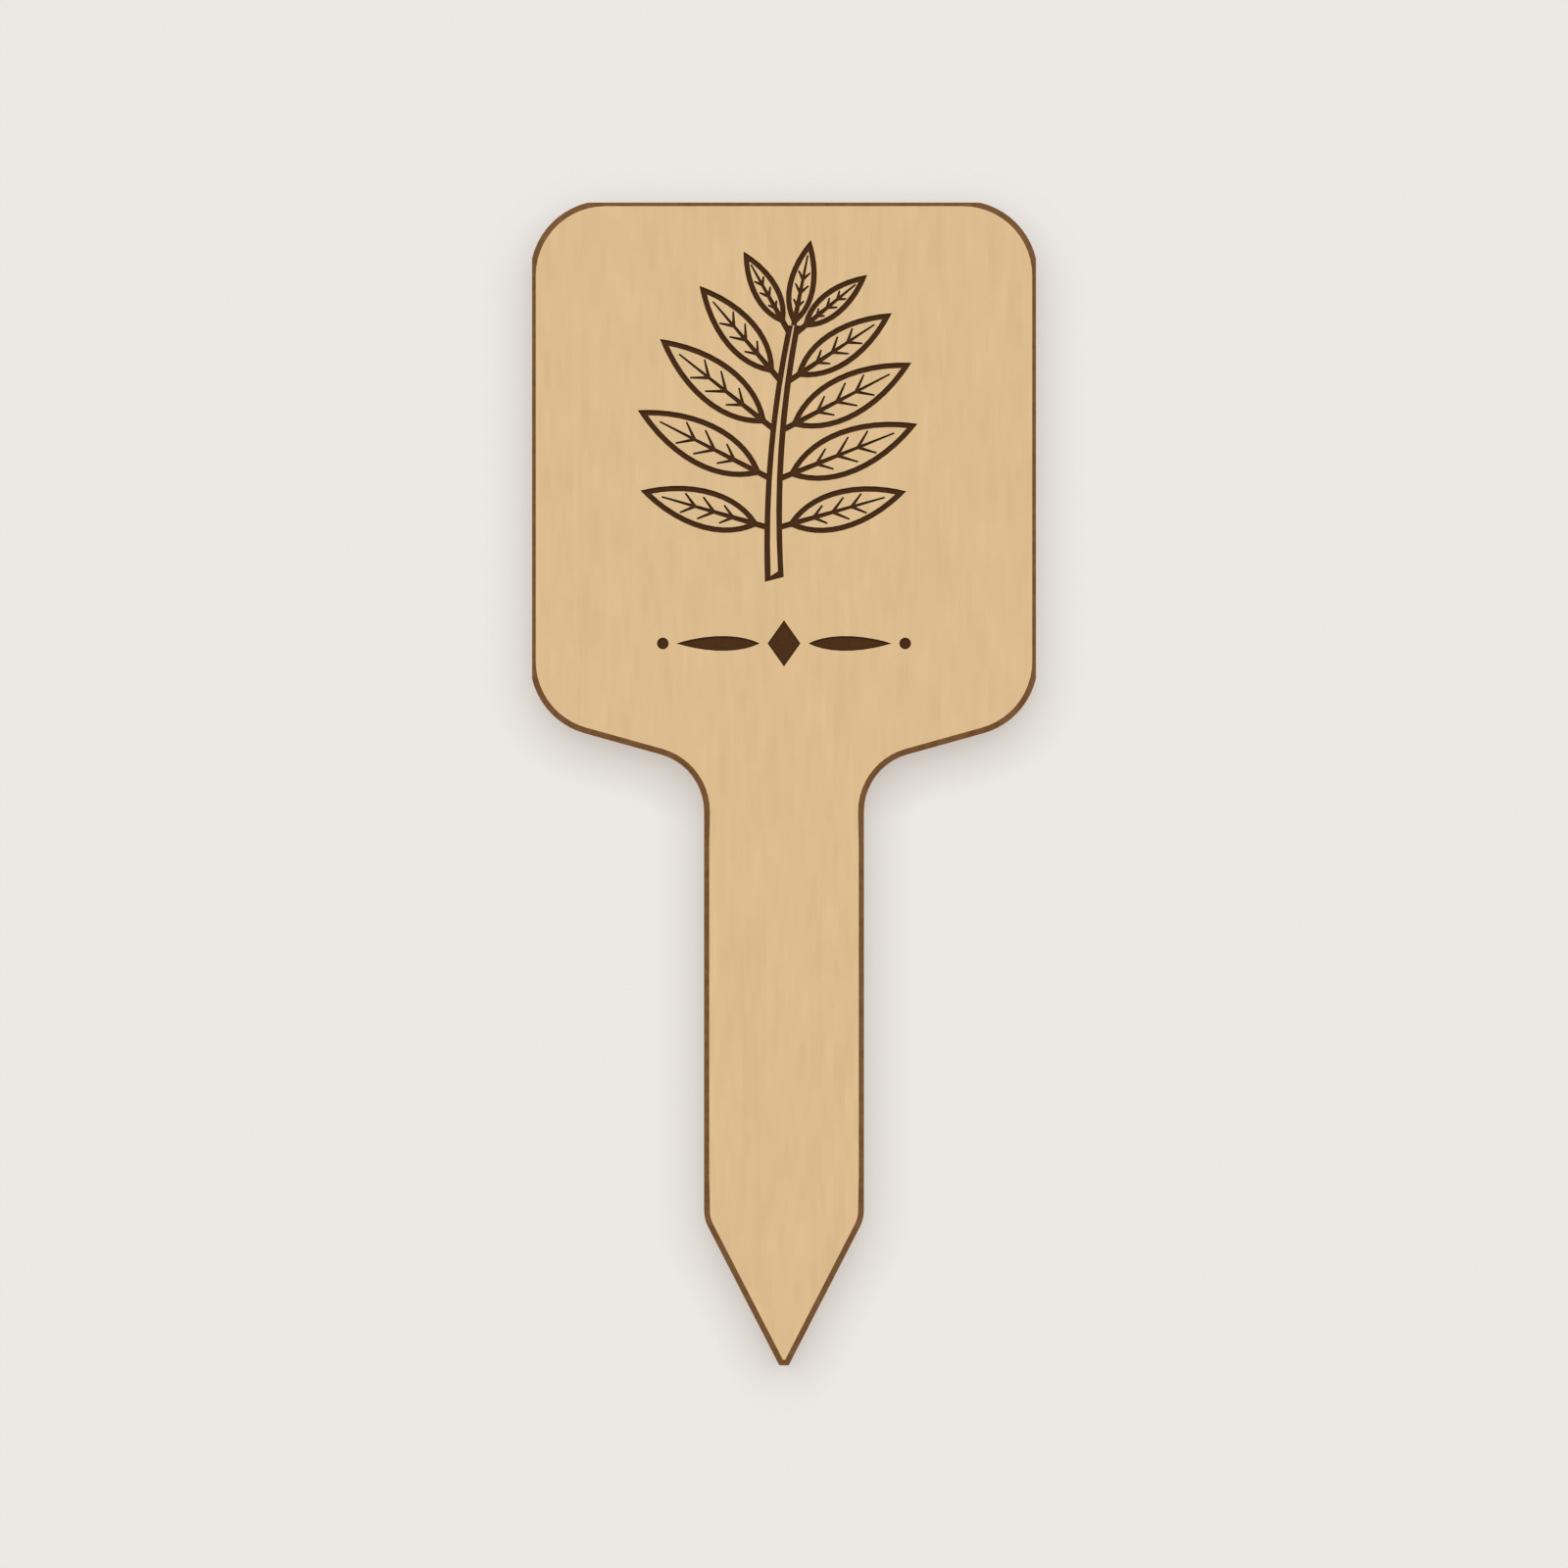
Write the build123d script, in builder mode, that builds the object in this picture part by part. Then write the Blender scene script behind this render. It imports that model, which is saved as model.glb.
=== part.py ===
from build123d import *
import os
from math import atan2, degrees, pi, radians, sin, tan

# Plant label stake: a flat blade cut from three-ply sheet, with a burnt rim and an engraved face.
# It stands upright, with +Z up the stake, the engraved face towards -Y and the origin where the
# stem enters the soil. All sizes are in millimetres.

# Sheet: two face plies and a core, with a film of glue between each pair
FACE_PLY = 0.8
GLUE_FILM = 0.1
CORE_PLY = 1.2

# Outline, from the top edge down to the tip
HEAD_WIDTH = 52.0
HEAD_SIDE = 53.2
SHOULDER_DROP = 5.0
STEM_WIDTH = 16.5
STEM_LENGTH = 46.7
POINT_LENGTH = 15.1
TIP_FLAT = 0.24
PLANTED_DEPTH = 40.0

# Rounded corners of the outline, in the same order
TOP_RADIUS = 7.75
SHOULDER_RADIUS = 7.7
NECK_RADIUS = 6.1
POINT_RADIUS = 3.7

# Burnt rim: a shallow bevel round both faces
RIM_WIDTH = 0.61
RIM_DEPTH = 0.2

# Trim off the head's top and sides once the rim is bevelled, which leaves the rim narrower there
HEAD_TRIM = 0.21

# Engraving: a broad pen for outlines and a fine one for veins
ENGRAVED_DEPTH = 0.3
PEN_WIDTH = 0.6
FINE_PEN_WIDTH = 0.36

# Divider: a lozenge, with a swash and a dot on each side of it
DIVIDER_RISE = 7.7
DIVIDER_SIDE_GAP = 12.9
DIVIDER_STEP = 0.8
LOZENGE_WIDTH = 3.4
LOZENGE_HEIGHT = 4.8
SWASH_WIDTH = 1.6
DOT_SIZE = 1.2

# Sprig: a bowed stalk with pairs of leaves, between the divider and the top edge
SPRIG_FOOT_GAP = 6.6
SPRIG_TOP_GAP = 3.7
SPRIG_SIDE_GAP = 10.0
STALK_LOW_GAP = 0.75
STALK_HIGH_GAP = 0.15
STALK_BOW = 0.8
STALK_SWAY = 1.0
STALK_FOOT_SLANT = 0.5
BARE_STALK = 5.2
LEAF_PITCH = 4.8
LEAF_STALK = 1.5
HIGH_LEAF_LENGTH = 8.6
END_LEAF_LENGTH = 9.0
END_LEAF_GAP = 1.2

# Shape of every leaf: angles in degrees, its edge in pen widths, the rest as shares of its size
LOW_LEAF_LEAN = 74.0
HIGH_LEAF_LEAN = 40.0
VEIN_LEAN = 38.0
EDGE_BASE_PENS = 1.5
EDGE_TIP_PENS = 2.0
LEAF_SLIMNESS = 0.34
BELLY_WIDTH = 0.72
BELLY_HEIGHT = 0.26
TAPER_WIDTH = 0.56
TAPER_HEIGHT = 0.68
RIB_HEIGHT = 0.82
VEIN_PAIRS = 3
LOW_VEIN = 0.14
HIGH_VEIN = 0.62
VEIN_RISE = 0.1
VEIN_FILL = 0.75

# Heights of the outline's corners above the soil line
tip_height = -PLANTED_DEPTH
point_height = tip_height + POINT_LENGTH
neck_height = point_height + STEM_LENGTH
shoulder_height = neck_height + SHOULDER_DROP
top_height = shoulder_height + HEAD_SIDE

# Reach of the head before it is trimmed
blank_top = top_height + HEAD_TRIM
blank_side = HEAD_WIDTH / 2 + HEAD_TRIM

# Blunt tip: a flat of bare wood, with the slanting rim on both sides of it
point_slope = atan2((STEM_WIDTH - TIP_FLAT) / 2, POINT_LENGTH)
tip_width = TIP_FLAT + 2 * RIM_WIDTH * tan(pi / 4 - point_slope / 2)

# Depths of the plies behind the front face
front_glue_depth = FACE_PLY
core_depth = front_glue_depth + GLUE_FILM
rear_glue_depth = core_depth + CORE_PLY
rear_veneer_depth = rear_glue_depth + GLUE_FILM
sheet_thickness = rear_veneer_depth + FACE_PLY

# Places and reach of the engraving on the head
divider_height = shoulder_height + DIVIDER_RISE
swash_start = LOZENGE_WIDTH / 2 + DIVIDER_STEP
swash_length = HEAD_WIDTH / 2 - DIVIDER_SIDE_GAP - DOT_SIZE - DIVIDER_STEP - swash_start
foot_height = divider_height + SPRIG_FOOT_GAP
fork_height = top_height - SPRIG_TOP_GAP - END_LEAF_LENGTH
long_leaf_length = HEAD_WIDTH / 2 - SPRIG_SIDE_GAP - LEAF_STALK


def plane_at(depth):
    """The plane that faces the viewer at a depth behind the front face."""
    return Plane.XZ.offset(sheet_thickness / 2 - depth)


def blank_outline():
    """The closed outline of the stake before its head is trimmed: its right half, mirrored."""
    with BuildSketch() as outline:
        with BuildLine():
            FilletPolyline(
                (0, blank_top),
                (blank_side, blank_top),
                (blank_side, shoulder_height),
                (STEM_WIDTH / 2, neck_height),
                (STEM_WIDTH / 2, point_height),
                (tip_width / 2, tip_height),
                (0, tip_height),
                radius=[TOP_RADIUS, SHOULDER_RADIUS, NECK_RADIUS, POINT_RADIUS, 0],
            )
            mirror(about=Plane.YZ)
        make_face()
    return outline.sketch


def trimmed_area():
    """The upright rectangle that the head is trimmed to, down to the tip."""
    with BuildSketch() as area:
        with Locations((0, tip_height)):
            Rectangle(HEAD_WIDTH, top_height - tip_height, align=(Align.CENTER, Align.MIN))
    return area.sketch


def stake_outline():
    """The closed outline of the finished stake."""
    with BuildSketch() as outline:
        add(blank_outline())
        add(trimmed_area(), mode=Mode.INTERSECT)
    return outline.sketch


def stroke(length, start_width, end_width):
    """A straight tapered pen stroke that stands on the origin."""
    with BuildSketch() as shape:
        Polygon(
            (-start_width / 2, 0),
            (start_width / 2, 0),
            (end_width / 2, length),
            (-end_width / 2, length),
            align=None,
        )
    return shape.sketch


def blade(length, width):
    """A pointed leaf blade that stands on the origin, widest just below its middle."""
    with BuildSketch() as shape:
        with BuildLine():
            Bezier(
                (0, 0),
                (BELLY_WIDTH * width, BELLY_HEIGHT * length),
                (TAPER_WIDTH * width, TAPER_HEIGHT * length),
                (0, length),
            )
            mirror(about=Plane.YZ)
        make_face()
    return shape.sketch


def vein_length(width, start):
    """How far a side vein runs from a place on the midrib towards the edge of the blade."""
    end = start + VEIN_RISE
    room = 2 * width * end * (1 - end) - PEN_WIDTH
    return VEIN_FILL * room / sin(radians(VEIN_LEAN))


def leaf_lines(length, width):
    """The pen lines of one leaf: its edge, its midrib and its side veins."""
    inner_length = length - (EDGE_BASE_PENS + EDGE_TIP_PENS) * PEN_WIDTH
    with BuildSketch() as lines:
        add(blade(length, width))
        with Locations((0, EDGE_BASE_PENS * PEN_WIDTH)):
            add(blade(inner_length, width - 2 * PEN_WIDTH), mode=Mode.SUBTRACT)
        add(stroke(RIB_HEIGHT * length, PEN_WIDTH, FINE_PEN_WIDTH / 2))
        for vein in range(VEIN_PAIRS):
            start = LOW_VEIN + (HIGH_VEIN - LOW_VEIN) * (vein + 0.5) / VEIN_PAIRS
            for lean in (-VEIN_LEAN, VEIN_LEAN):
                with Locations(Location((0, start * length), lean)):
                    add(stroke(vein_length(width, start), FINE_PEN_WIDTH, FINE_PEN_WIDTH / 2))
    return lines.sketch


def stalk_shape(line_width):
    """The tapered, bowed stalk: the bare wood inside it, and lines of a given width round that."""
    low = STALK_LOW_GAP / 2 + line_width
    high = STALK_HIGH_GAP / 2 + line_width
    foot = foot_height + PEN_WIDTH - line_width
    left_foot = (-STALK_SWAY - low, foot - STALK_FOOT_SLANT / 2)
    right_foot = (-STALK_SWAY + low, foot + STALK_FOOT_SLANT / 2)
    with BuildSketch() as shape:
        with BuildLine():
            left = SagittaArc(left_foot, (STALK_SWAY - high, fork_height), STALK_BOW)
            right = SagittaArc(right_foot, (STALK_SWAY + high, fork_height), STALK_BOW)
            Line(left @ 0, right @ 0)
            Line(left @ 1, right @ 1)
        make_face()
    return shape.sketch


def heading_of(line, place):
    """The angle of a line at a place along it, in degrees from straight up."""
    tangent = line % place
    return degrees(atan2(-tangent.X, tangent.Y))


with BuildLine() as stalk_line:
    SagittaArc((-STALK_SWAY, foot_height), (STALK_SWAY, fork_height), STALK_BOW)

# Each leaf hides what is drawn behind it. The side leaves are longest a third of the way up.
with BuildSketch() as sprig:
    stalk = stalk_line.edges()[0]
    leafy_length = stalk.length - BARE_STALK - END_LEAF_GAP
    pair_steps = max(1, round(leafy_length / LEAF_PITCH))
    for pair in range(pair_steps + 1):
        share = pair / pair_steps
        place = (BARE_STALK + leafy_length * share) / stalk.length
        swell = sin(pi * (1 + 3 * share) / 4)
        length = HIGH_LEAF_LENGTH + (long_leaf_length - HIGH_LEAF_LENGTH) * swell
        width = LEAF_SLIMNESS * length
        lean = LOW_LEAF_LEAN + (HIGH_LEAF_LEAN - LOW_LEAF_LEAN) * share
        for turn in (-lean, lean):
            with Locations(Location(stalk @ place, heading_of(stalk, place) + turn)):
                add(stroke(LEAF_STALK + PEN_WIDTH, PEN_WIDTH, PEN_WIDTH))
                with Locations((0, LEAF_STALK)):
                    add(blade(length, width), mode=Mode.SUBTRACT)
                    add(leaf_lines(length, width))
    end_leaf_width = LEAF_SLIMNESS * END_LEAF_LENGTH
    with Locations(Location(stalk @ 1, heading_of(stalk, 1))):
        add(blade(END_LEAF_LENGTH, end_leaf_width), mode=Mode.SUBTRACT)
        add(leaf_lines(END_LEAF_LENGTH, end_leaf_width))
    add(stalk_shape(PEN_WIDTH))
    add(stalk_shape(0), mode=Mode.SUBTRACT)

with BuildSketch() as divider:
    with Locations((0, divider_height)):
        Polygon(
            (0, -LOZENGE_HEIGHT / 2),
            (LOZENGE_WIDTH / 2, 0),
            (0, LOZENGE_HEIGHT / 2),
            (-LOZENGE_WIDTH / 2, 0),
            align=None,
        )
        for side in (-1, 1):
            with Locations(Location((side * swash_start, 0), -90 * side)):
                add(blade(swash_length, SWASH_WIDTH))
                with Locations((0, swash_length + DIVIDER_STEP + DOT_SIZE / 2)):
                    Circle(DOT_SIZE / 2)

with BuildPart() as front_veneer:
    with BuildSketch(plane_at(0)):
        add(blank_outline())
    extrude(amount=-FACE_PLY)
    front_face = front_veneer.faces().sort_by(Axis.Y)[0]
    chamfer(front_face.edges(), length=RIM_WIDTH, length2=RIM_DEPTH, reference=front_face)
    with BuildSketch(plane_at(0)):
        add(trimmed_area())
    extrude(amount=-FACE_PLY, mode=Mode.INTERSECT)
    with BuildSketch(plane_at(0)):
        add(sprig.sketch)
        add(divider.sketch)
    extrude(amount=-ENGRAVED_DEPTH, mode=Mode.SUBTRACT)
front_veneer.part.label = "front_veneer"

with BuildPart() as front_glue_line:
    with BuildSketch(plane_at(front_glue_depth)):
        add(stake_outline())
    extrude(amount=-GLUE_FILM)
front_glue_line.part.label = "front_glue_line"

with BuildPart() as core_veneer:
    with BuildSketch(plane_at(core_depth)):
        add(stake_outline())
    extrude(amount=-CORE_PLY)
core_veneer.part.label = "core_veneer"

with BuildPart() as rear_glue_line:
    with BuildSketch(plane_at(rear_glue_depth)):
        add(stake_outline())
    extrude(amount=-GLUE_FILM)
rear_glue_line.part.label = "rear_glue_line"

with BuildPart() as rear_veneer:
    with BuildSketch(plane_at(rear_veneer_depth)):
        add(blank_outline())
    extrude(amount=-FACE_PLY)
    rear_face = rear_veneer.faces().sort_by(Axis.Y)[-1]
    chamfer(rear_face.edges(), length=RIM_WIDTH, length2=RIM_DEPTH, reference=rear_face)
    with BuildSketch(plane_at(rear_veneer_depth)):
        add(trimmed_area())
    extrude(amount=-FACE_PLY, mode=Mode.INTERSECT)
rear_veneer.part.label = "rear_veneer"

os.makedirs("parts", exist_ok=True)
for piece in (front_veneer, front_glue_line, core_veneer, rear_glue_line, rear_veneer):
    export_step(piece.part, f"parts/{piece.part.label}.step")
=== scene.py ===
import itertools
import math

import bpy
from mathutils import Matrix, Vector


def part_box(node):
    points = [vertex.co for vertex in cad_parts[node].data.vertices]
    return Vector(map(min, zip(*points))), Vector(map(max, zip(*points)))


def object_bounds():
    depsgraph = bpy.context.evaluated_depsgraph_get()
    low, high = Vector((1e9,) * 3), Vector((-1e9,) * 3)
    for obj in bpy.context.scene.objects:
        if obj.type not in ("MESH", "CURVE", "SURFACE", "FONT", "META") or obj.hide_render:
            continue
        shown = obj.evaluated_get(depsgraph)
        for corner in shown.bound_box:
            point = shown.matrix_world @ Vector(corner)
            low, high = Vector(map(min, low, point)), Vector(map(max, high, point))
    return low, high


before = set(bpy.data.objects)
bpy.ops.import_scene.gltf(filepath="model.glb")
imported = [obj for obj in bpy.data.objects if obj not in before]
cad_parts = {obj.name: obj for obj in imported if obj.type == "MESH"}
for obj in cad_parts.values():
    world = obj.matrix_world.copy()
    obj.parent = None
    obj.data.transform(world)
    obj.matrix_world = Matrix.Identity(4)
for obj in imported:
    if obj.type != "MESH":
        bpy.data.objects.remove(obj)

CAD_LOW, CAD_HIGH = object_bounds()
MM = 0.001

# Looks of a three-ply plant label: pale veneer, burnt rim and edges, dark engraving.
# Each material runs from a dark to a light colour, written as it shows, in sRGB from 0 to 255.
FRONT_WOOD = ((198, 166, 119), (238, 206, 159))
REAR_WOOD = ((195, 163, 116), (235, 203, 156))
BURNT_RIM = ((101, 65, 30), (129, 93, 58))
ENGRAVED = ((60, 33, 6), (84, 51, 22))
FACE_EDGE = ((82, 54, 32), (128, 92, 58))
CORE_EDGE = ((58, 38, 24), (104, 72, 45))
GLUE = ((32, 21, 14), (64, 44, 30))

# The light, the background and the tone that the shadow painted on the backing tends to, written the
# same way
WHITE = (255, 255, 255)
BACKGROUND = (236, 232, 227)
PAINTED_SHADOW = (180, 168, 158)

# Veneer grain: dashes (width, length), then fibres and bands (x, y, z), with their shares of the tone
WIDE_DASHES = (1.0 * MM, 6 * MM)
NARROW_DASHES = (0.56 * MM, 5 * MM)
DASH_SHARE = 0.047
FIBRES = (0.16 * MM, 2 * MM, 3.5 * MM)
FIBRE_SHARE = 0.05
BANDS = (3 * MM, 40 * MM, 60 * MM)
BAND_SHARE = 0.06

# Dashes show where the noise is well above or below its middle. Strips read it far apart.
LIGHT_DASH = (0.55, 0.68)
DARK_DASH = (0.45, 0.32)
STRIP_SPREAD = 7.3

# Burnt wood: sizes (x, y, z) of the beam's stripes, patches, fibres and mottle, with shares of the tone
BEAM_STRIPES = (0.25 * MM, 4 * MM, 0.25 * MM)
STRIPE_SHARE = 1.2
BURNT_PATCHES = (6 * MM, 6 * MM, 6 * MM)
PATCH_SHARE = 0.8
FACE_FIBRES = (0.15 * MM, 0.15 * MM, 3 * MM)
CORE_FIBRES = (3 * MM, 0.15 * MM, 0.15 * MM)
EDGE_FIBRE_SHARE = 1.0
RIM_MOTTLE = (0.8 * MM, 2 * MM, 0.8 * MM)
CHAR_MOTTLE = (0.3 * MM, 1 * MM, 0.15 * MM)
GLUE_MOTTLE = (0.4 * MM, 0.4 * MM, 0.4 * MM)
MOTTLE_SHARE = 1.1

# Noise: octaves added to a smooth, a plain and a fine pattern, and the strength of each next octave
SMOOTH_DETAIL = 0.0
PLAIN_DETAIL = 1.0
FINE_DETAIL = 2.0
OCTAVE_STRENGTH = 0.5

# Surface relief: bump height and a range of roughness, which runs over a range of the relief
FACE_RELIEF = (0.01 * MM, 0.6, 0.72)
CORE_RELIEF = (0.03 * MM, 0.7, 0.85)
GLUE_RELIEF = (0.01 * MM, 0.4, 0.6)
RELIEF_RANGE = (0.2, 0.8)
BUMP_STRENGTH = 0.5
GLOSS = 0.1

# The rim is bevelled. The burnt band on it is a little narrower along the stem's straight sides.
RIM_WIDTH = 0.61 * MM
RIM_DEPTH = 0.2 * MM
STEM_BAND = 0.54 * MM
STEM_BAND_DEPTH = RIM_DEPTH * (1 - STEM_BAND / RIM_WIDTH)

# Ends of those sides, and the stretch at each end where the band narrows
STEM_FOOT = -24.0 * MM
STEM_TOP = 17.2 * MM
BAND_TAPER = 4 * MM

# How squarely flat faces and bevels look out of the sheet, and how deep the engraving starts
FLAT_FROM = 0.97
BEVEL_FROM = 0.5
ENGRAVED_FROM = 0.1 * MM

# Camera: the photograph's frame is this wide at the stake's front face
FRAME_WIDTH = 161.75 * MM
LENS = 100.0
SENSOR = 36.0

# Light: shares of the full level from the world and from the sun on each side
WORLD_SHARE = 0.6
SUN_SHARE = 0.4
SUN_HEIGHT = math.radians(25)
SUN_SPREAD = math.radians(30)

# Backing surface behind the stake, with a soft shadow painted on it by ambient occlusion tilted up, as
# if light came from above
BACKING_GAP = 0.05 * MM
BACKING_SIZE = 4.0
SHADOW_REACH = 5.5 * MM
SHADOW_TILT = math.radians(26)
SHADOW_SAMPLES = 8

# Each pattern starts at its own far place in the noise
FIRST_START = 9
START_STEP = 17
pattern_starts = itertools.count(FIRST_START, START_STEP)


def linear(colour):
    """An sRGB colour from 0 to 255, as the linear colour that the nodes take."""
    channels = [value / 255 for value in colour]
    curve = [c / 12.92 if c <= 0.04045 else ((c + 0.055) / 1.055) ** 2.4 for c in channels]
    return (*curve, 1.0)


class NodeTree:
    """Short ways to add nodes to the tree of a material or the world."""

    def __init__(self, owner):
        owner.use_nodes = True
        self.tree = owner.node_tree

    def feed(self, socket, value):
        """Links a socket to another one, or sets it to a value."""
        if isinstance(value, bpy.types.NodeSocket):
            self.tree.links.new(value, socket)
        else:
            socket.default_value = value

    def add(self, kind, inputs=None, **settings):
        """Adds a node with its settings and inputs."""
        node = self.tree.nodes.new(kind)
        for name, value in settings.items():
            setattr(node, name, value)
        for name, value in (inputs or {}).items():
            self.feed(node.inputs[name], value)
        return node

    def maths(self, operation, first, second=0.0):
        """The result of an operation on one or two values."""
        return self.add("ShaderNodeMath", {0: first, 1: second}, operation=operation).outputs[0]

    def total(self, first, *others):
        """All the values added up."""
        for other in others:
            first = self.maths("ADD", first, other)
        return first

    def step(self, value, low, high, start=0.0, end=1.0):
        """A smooth step from start to end as the value goes from low to high."""
        inputs = {"Value": value, "From Min": low, "From Max": high, "To Min": start, "To Max": end}
        return self.add("ShaderNodeMapRange", inputs, interpolation_type="SMOOTHSTEP").outputs[0]

    def blend(self, factor, first, second):
        """A mix of two colours, or of two values as greys."""
        node = self.add("ShaderNodeMix", data_type="RGBA")
        # Several sockets of this node share a name, so they are found by their identifiers
        sockets = {socket.identifier: socket for socket in node.inputs}
        self.feed(sockets["Factor_Float"], factor)
        self.feed(sockets["A_Color"], first)
        self.feed(sockets["B_Color"], second)
        return next(socket for socket in node.outputs if socket.identifier == "Result_Color")

    def shade(self, colours, tone):
        """The colour at a tone between the dark one (-0.5) and the light one (0.5)."""
        dark, light = colours
        return self.blend(self.maths("ADD", tone, 0.5), linear(dark), linear(light))

    def axes(self, vector):
        """The three numbers of a vector."""
        return self.add("ShaderNodeSeparateXYZ", {0: vector}).outputs

    def place(self):
        """The place on the object, in metres."""
        return self.add("ShaderNodeTexCoord").outputs["Object"]

    def normal(self):
        """The direction that the flat of the mesh faces."""
        return self.add("ShaderNodeNewGeometry").outputs["True Normal"]

    def noise(self, size, detail=PLAIN_DETAIL):
        """Noise from 0 to 1, whose patches have a size (x, y, z) in metres."""
        scale = tuple(1 / length for length in size)
        start = (next(pattern_starts),) * 3
        mapping = {"Vector": self.place(), "Scale": scale, "Location": start}
        spot = self.add("ShaderNodeMapping", mapping).outputs[0]
        inputs = {"Vector": spot, "Scale": 1.0, "Detail": detail, "Roughness": OCTAVE_STRENGTH}
        return self.add("ShaderNodeTexNoise", inputs).outputs[0]

    def swing(self, noise, share):
        """Noise as a swing of the tone about zero, with a given share."""
        return self.maths("MULTIPLY", self.maths("SUBTRACT", noise, 0.5), share)

    def dashes(self, size, share):
        """A tone of dark and light dashes on a plain ground, in upright strips of uneven width."""
        width, length = size
        place = self.axes(self.place())
        across = self.maths("ADD", self.maths("DIVIDE", place["X"], width), next(pattern_starts))
        along = self.maths("DIVIDE", place["Z"], length)
        strips = self.add("ShaderNodeTexVoronoi", {"W": across, "Scale": 1.0}, voronoi_dimensions="1D")
        strip = self.maths("MULTIPLY", strips.outputs["W"], STRIP_SPREAD)
        spot = self.add("ShaderNodeCombineXYZ", {"X": strip, "Z": along}).outputs[0]
        inputs = {"Vector": spot, "Scale": 1.0, "Detail": SMOOTH_DETAIL}
        noise = self.add("ShaderNodeTexNoise", inputs).outputs[0]
        light = self.step(noise, *LIGHT_DASH)
        dark = self.step(noise, *DARK_DASH)
        return self.maths("MULTIPLY", self.maths("SUBTRACT", light, dark), share)


def new_material(name):
    """A node material, its tree and its shader."""
    material = bpy.data.materials.new(name)
    nodes = NodeTree(material)
    return material, nodes, nodes.tree.nodes["Principled BSDF"]


def finish_shader(nodes, shader, colour, relief, finish):
    """Gives a shader its colour, and its bump and roughness from the same relief."""
    height, smooth, rough = finish
    inputs = {"Height": relief, "Strength": BUMP_STRENGTH, "Distance": height}
    nodes.feed(shader.inputs["Base Color"], colour)
    nodes.feed(shader.inputs["Normal"], nodes.add("ShaderNodeBump", inputs).outputs[0])
    nodes.feed(shader.inputs["Roughness"], nodes.step(relief, *RELIEF_RANGE, smooth, rough))
    shader.inputs["Specular IOR Level"].default_value = GLOSS


def veneer_grain(nodes):
    """Tone and fibres of pale veneer: dashes, fine fibres and broad bands, all up the stake."""
    wide = nodes.dashes(WIDE_DASHES, DASH_SHARE)
    narrow = nodes.dashes(NARROW_DASHES, DASH_SHARE)
    fibres = nodes.noise(FIBRES, FINE_DETAIL)
    bands = nodes.noise(BANDS)
    tone = nodes.total(wide, narrow, nodes.swing(fibres, FIBRE_SHARE), nodes.swing(bands, BAND_SHARE))
    return tone, fibres


def burnt_edge(nodes, fibre_size):
    """Tone and fibres of a burnt cut edge, with stripes across the sheet where the beam passed."""
    stripes = nodes.noise(BEAM_STRIPES)
    patches = nodes.noise(BURNT_PATCHES)
    fibres = nodes.noise(fibre_size, FINE_DETAIL)
    tone = nodes.total(
        nodes.swing(stripes, STRIPE_SHARE),
        nodes.swing(patches, PATCH_SHARE),
        nodes.swing(fibres, EDGE_FIBRE_SHARE),
    )
    return tone, fibres


def pale_bevel(nodes, depth):
    """Where the bevel stays pale: a strip inside the stem's narrower band, which tapers at its ends."""
    height = nodes.axes(nodes.place())["Z"]
    above_foot = nodes.step(height, STEM_FOOT, STEM_FOOT + BAND_TAPER)
    below_top = nodes.step(height, STEM_TOP, STEM_TOP - BAND_TAPER)
    stem = nodes.maths("MULTIPLY", above_foot, below_top)
    return nodes.maths("LESS_THAN", depth, nodes.maths("MULTIPLY", stem, STEM_BAND_DEPTH))


def face_veneer(name, wood, face_y, inward):
    """Face ply: pale wood on the face, brown on the rim and edge, dark in the engraving."""
    material, nodes, shader = new_material(name)
    grain, fibres = veneer_grain(nodes)
    edge_tone, edge_fibres = burnt_edge(nodes, FACE_FIBRES)
    rim_tone = nodes.swing(nodes.noise(RIM_MOTTLE), MOTTLE_SHARE)
    char_tone = nodes.swing(nodes.noise(CHAR_MOTTLE, FINE_DETAIL), MOTTLE_SHARE)

    # Where each finish shows, by the way that the surface faces and its depth in the sheet
    squareness = nodes.maths("ABSOLUTE", nodes.axes(nodes.normal())["Y"])
    behind = nodes.maths("SUBTRACT", nodes.axes(nodes.place())["Y"], face_y)
    depth = nodes.maths("MULTIPLY", behind, inward)
    flat = nodes.maths("GREATER_THAN", squareness, FLAT_FROM)
    bevel = nodes.maths("GREATER_THAN", squareness, BEVEL_FROM)
    engraved = nodes.maths("MULTIPLY", flat, nodes.maths("GREATER_THAN", depth, ENGRAVED_FROM))
    pale = nodes.maths("MAXIMUM", flat, nodes.maths("MULTIPLY", bevel, pale_bevel(nodes, depth)))

    # Each finish covers the ones before it
    colour = nodes.blend(bevel, nodes.shade(FACE_EDGE, edge_tone), nodes.shade(BURNT_RIM, rim_tone))
    colour = nodes.blend(pale, colour, nodes.shade(wood, grain))
    colour = nodes.blend(engraved, colour, nodes.shade(ENGRAVED, char_tone))
    relief = nodes.blend(bevel, edge_fibres, fibres)
    finish_shader(nodes, shader, colour, relief, FACE_RELIEF)
    return material


def core_veneer(name):
    """Core ply: only its cut edge shows, burnt darker than the faces, with its grain across."""
    material, nodes, shader = new_material(name)
    tone, fibres = burnt_edge(nodes, CORE_FIBRES)
    finish_shader(nodes, shader, nodes.shade(CORE_EDGE, tone), fibres, CORE_RELIEF)
    return material


def glue_film(name):
    """Cured glue: a dark line along the edge, a little glossier than the wood."""
    material, nodes, shader = new_material(name)
    mottle = nodes.noise(GLUE_MOTTLE, FINE_DETAIL)
    colour = nodes.shade(GLUE, nodes.swing(mottle, MOTTLE_SHARE))
    finish_shader(nodes, shader, colour, mottle, GLUE_RELIEF)
    return material


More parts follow.
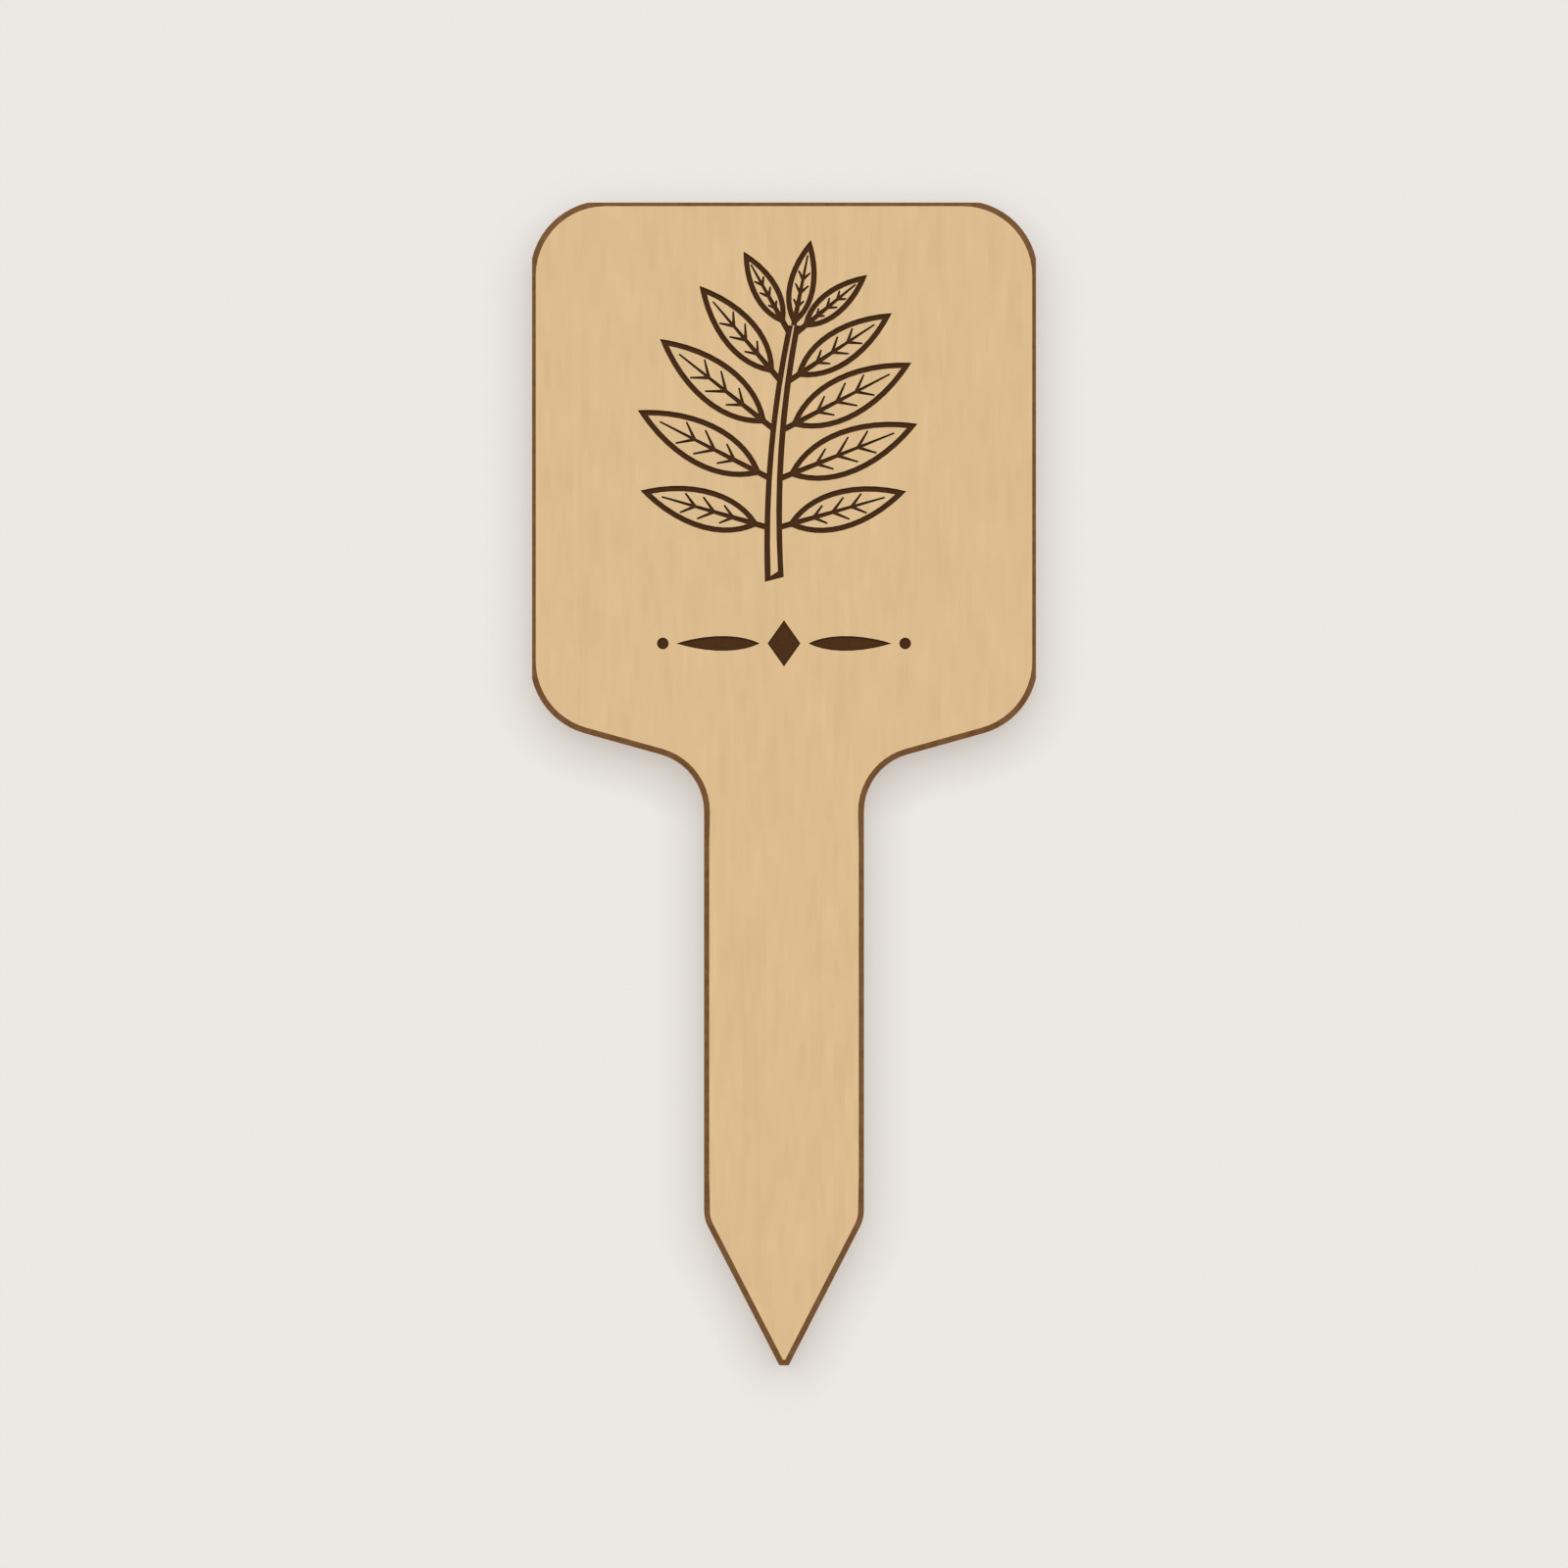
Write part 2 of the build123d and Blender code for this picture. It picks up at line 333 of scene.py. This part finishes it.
def paint(node, material):
    """Gives a CAD node its material."""
    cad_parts[node].material_slots[0].material = material


def add_to_scene(name, data):
    """A new object in the scene."""
    thing = bpy.data.objects.new(name, data)
    bpy.context.scene.collection.objects.link(thing)
    return thing


def add_sun(name, side):
    """A soft sun from above, in front (1) or behind (-1), that lights a face with its share."""
    lamp = bpy.data.lights.new(name, "SUN")
    lamp.energy = SUN_SHARE * math.pi / math.cos(SUN_HEIGHT)
    lamp.angle = SUN_SPREAD
    direction = Vector((0, side * math.cos(SUN_HEIGHT), -math.sin(SUN_HEIGHT)))
    add_to_scene(name, lamp).rotation_euler = direction.to_track_quat("-Z", "Y").to_euler()


def add_world():
    """Even white light, with the background's colour where the camera and gloss see it."""
    world = bpy.data.worlds.new("studio")
    bpy.context.scene.world = world
    nodes = NodeTree(world)
    path = nodes.add("ShaderNodeLightPath").outputs
    seen = nodes.maths("MAXIMUM", path["Is Camera Ray"], path["Is Glossy Ray"])
    seen = nodes.maths("MAXIMUM", seen, path["Is Transmission Ray"])
    light = nodes.add("ShaderNodeBackground", {"Color": linear(WHITE), "Strength": WORLD_SHARE})
    backdrop = nodes.add("ShaderNodeBackground", {"Color": linear(BACKGROUND), "Strength": 1.0})
    mix = nodes.add("ShaderNodeMixShader", {0: seen, 1: light.outputs[0], 2: backdrop.outputs[0]})
    nodes.feed(nodes.tree.nodes["World Output"].inputs[0], mix.outputs[0])


def backing_material():
    """Pale and even, with a shadow painted in where ambient occlusion, tilted up, finds the stake near,
    and clear from behind.
    """
    material, nodes, shader = new_material("backing_surface")
    towards_light = {"Y": -math.cos(SHADOW_TILT), "Z": math.sin(SHADOW_TILT)}
    direction = nodes.add("ShaderNodeCombineXYZ", towards_light).outputs[0]
    inputs = {"Distance": SHADOW_REACH, "Normal": direction}
    light = nodes.add("ShaderNodeAmbientOcclusion", inputs, samples=SHADOW_SAMPLES).outputs["AO"]
    # Painted shadow: where the occlusion finds the stake, the glowing colour darkens towards the shadow
    # tone
    colour = nodes.blend(light, linear(PAINTED_SHADOW), linear(BACKGROUND))
    front = nodes.add("ShaderNodeEmission", {"Color": colour})
    behind = nodes.add("ShaderNodeBsdfTransparent")
    turned = nodes.add("ShaderNodeNewGeometry").outputs["Backfacing"]
    mix = nodes.add("ShaderNodeMixShader", {0: turned, 1: front.outputs[0], 2: behind.outputs[0]})
    nodes.feed(nodes.tree.nodes["Material Output"].inputs[0], mix.outputs[0])
    nodes.tree.nodes.remove(shader)
    return material


def add_backing():
    """The pale surface behind the stake. It throws no light or shadow on the stake."""
    half = BACKING_SIZE / 2
    y = CAD_HIGH.y + BACKING_GAP
    corners = [(-half, y, -half), (half, y, -half), (half, y, half), (-half, y, half)]
    mesh = bpy.data.meshes.new("backing_surface")
    mesh.from_pydata(corners, [], [(0, 1, 2, 3)])
    mesh.materials.append(backing_material())
    backing = add_to_scene("backing_surface", mesh)
    backing.visible_diffuse = False
    backing.visible_glossy = False
    backing.visible_transmission = False
    backing.visible_shadow = False


def add_camera():
    """Straight in front of the stake's middle, as in the photograph."""
    camera = bpy.data.cameras.new("camera")
    camera.lens = LENS
    camera.sensor_width = SENSOR
    distance = FRAME_WIDTH * LENS / SENSOR
    middle = (CAD_LOW + CAD_HIGH) / 2
    viewer = add_to_scene("camera", camera)
    viewer.location = (middle.x, CAD_LOW.y - distance, middle.z)
    viewer.rotation_euler = (math.pi / 2, 0, 0)
    bpy.context.scene.camera = viewer


front_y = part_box("front_veneer")[0].y
rear_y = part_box("rear_veneer")[1].y
paint("front_veneer", face_veneer("front_face_wood", FRONT_WOOD, front_y, 1))
paint("rear_veneer", face_veneer("rear_face_wood", REAR_WOOD, rear_y, -1))
paint("core_veneer", core_veneer("core_wood"))
paint("front_glue_line", glue_film("front_glue"))
paint("rear_glue_line", glue_film("rear_glue"))

add_world()
add_sun("front_sun", 1)
add_sun("rear_sun", -1)
add_backing()
add_camera()
bpy.context.scene.view_settings.view_transform = "Standard"
